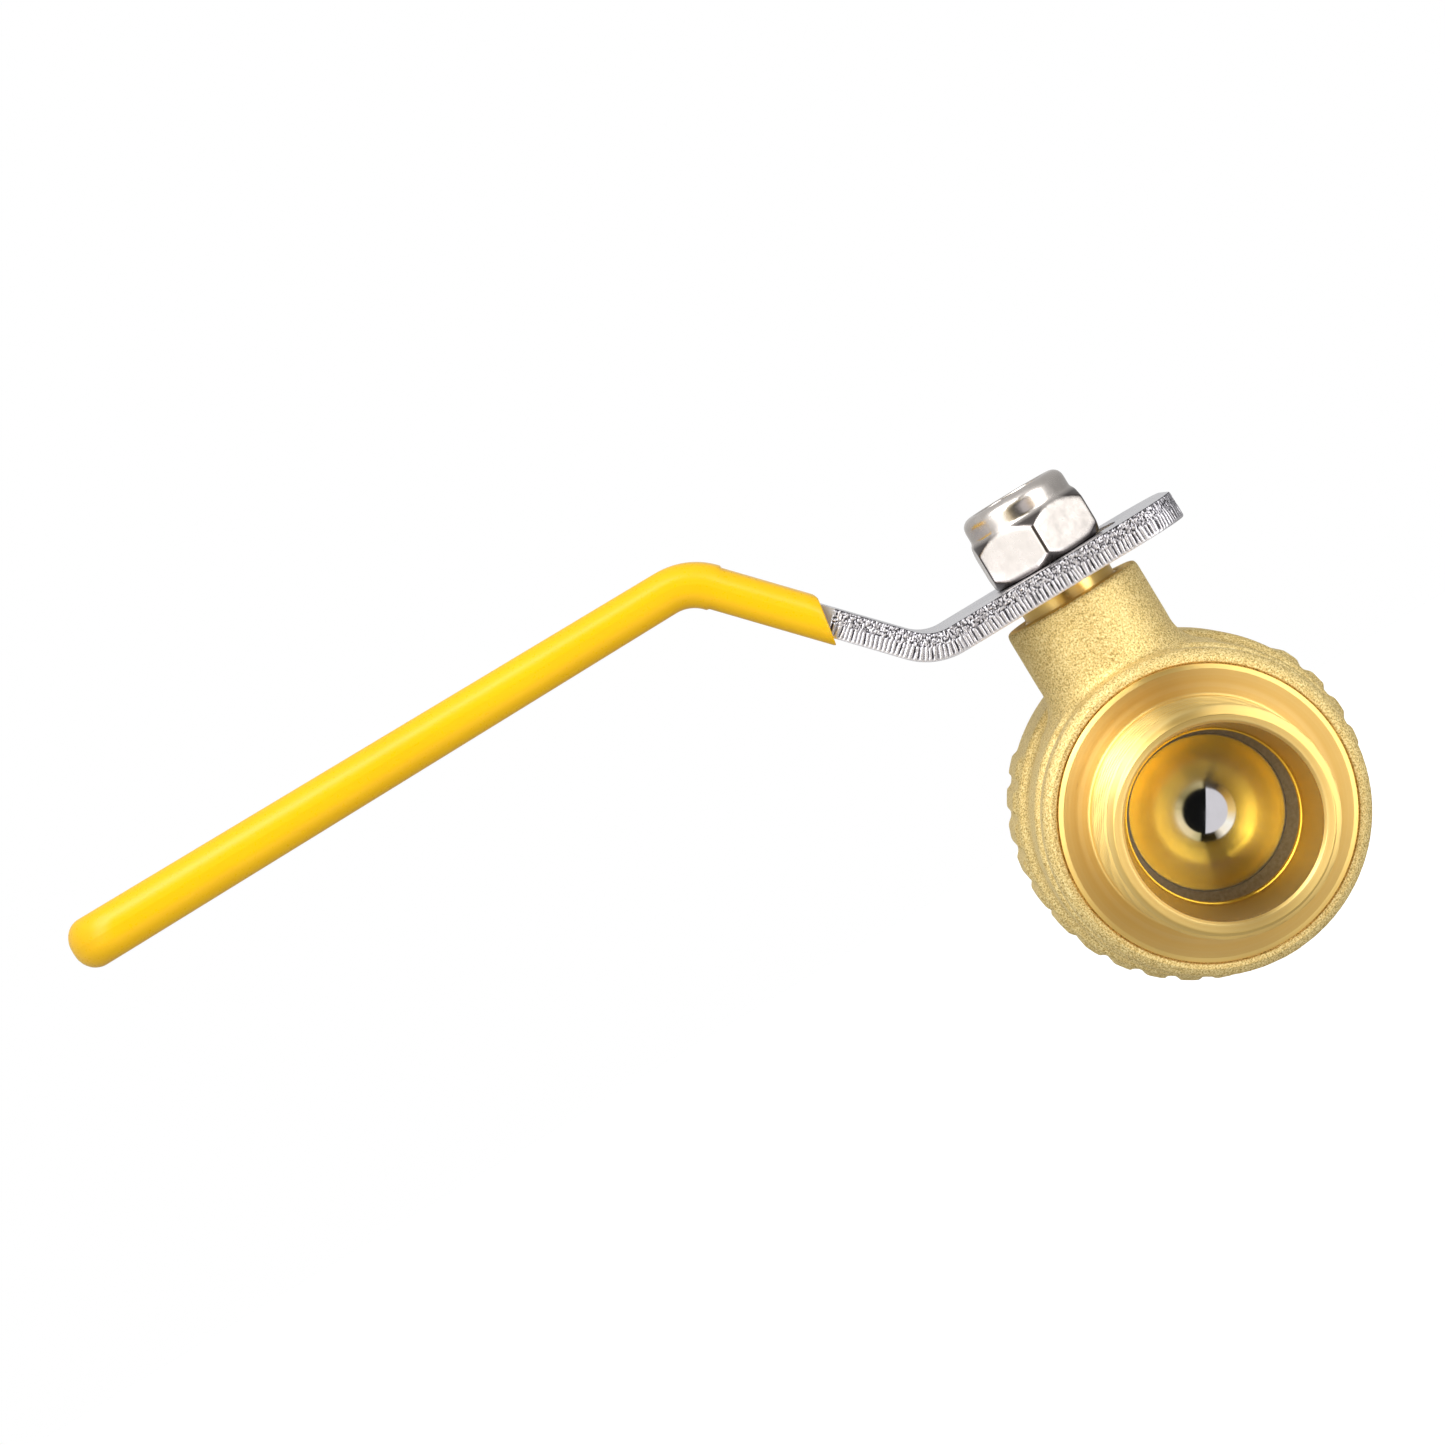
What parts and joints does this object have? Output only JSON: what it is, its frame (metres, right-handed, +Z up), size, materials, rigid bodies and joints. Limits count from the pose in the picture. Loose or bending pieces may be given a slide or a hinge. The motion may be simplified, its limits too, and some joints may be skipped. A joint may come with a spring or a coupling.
{
  "type": "gas ball valve",
  "caption": "Brass gas ball valve with a male inlet thread, female outlet thread and a yellow-sleeved lever that turns a quarter turn to open the ball.",
  "frame": {"origin": "centre of the inlet shoulder, on the bore axis", "axes": "+Y along the bore from the male inlet to the female outlet, +Z up the stem; the shut lever points to -X"},
  "size_m": [0.1381, 0.0595, 0.0757],
  "materials": {
    "forged_brass": "sand-blasted forging",
    "machined_brass": "fine turned",
    "ball_chrome": "mirror polish",
    "seat_ptfe": "filled PTFE",
    "seal_rubber": "nitrile rubber",
    "packing_ptfe": "white PTFE",
    "stem_brass": "turned",
    "lever_steel": "zinc-plated, sheared edges",
    "sleeve_yellow": "soft-gloss vinyl",
    "nut_steel": "nickel-plated",
    "nut_nylon": "nylon"
  },
  "bodies": {
    "body": {"valve_body": "forged_brass", "end_cap": "machined_brass", "cap_seal": "seal_rubber", "inlet_seat": "seat_ptfe", "outlet_seat": "seat_ptfe", "thrust_washer": "packing_ptfe", "packing_ring_lower": "packing_ptfe", "packing_ring_middle": "packing_ptfe", "packing_ring_upper": "packing_ptfe", "gland": "machined_brass"},
    "handle": {"lever": "lever_steel", "lever_sleeve": "sleeve_yellow", "lock_nut": "nut_steel", "nut_insert": "nut_nylon", "stem": "stem_brass", "stem_oring_lower": "seal_rubber", "stem_oring_upper": "seal_rubber"},
    "ball": {"ball": "ball_chrome"}
  },
  "joints": [
    {"name": "lever_turn", "type": "hinge", "parent": "body", "child": "handle", "pos_m": [0, 0.012, 0.03], "axis": [0, 0, 1], "range_deg": [0, 90]},
    {"name": "ball_turn", "type": "hinge", "parent": "body", "child": "ball", "pos_m": [0, 0.012, 0], "axis": [0, 0, 1], "range_deg": [0, 90]}
  ],
  "couplings": [
    {"joint": "ball_turn", "follows": "lever_turn", "ratio": 1}
  ]
}
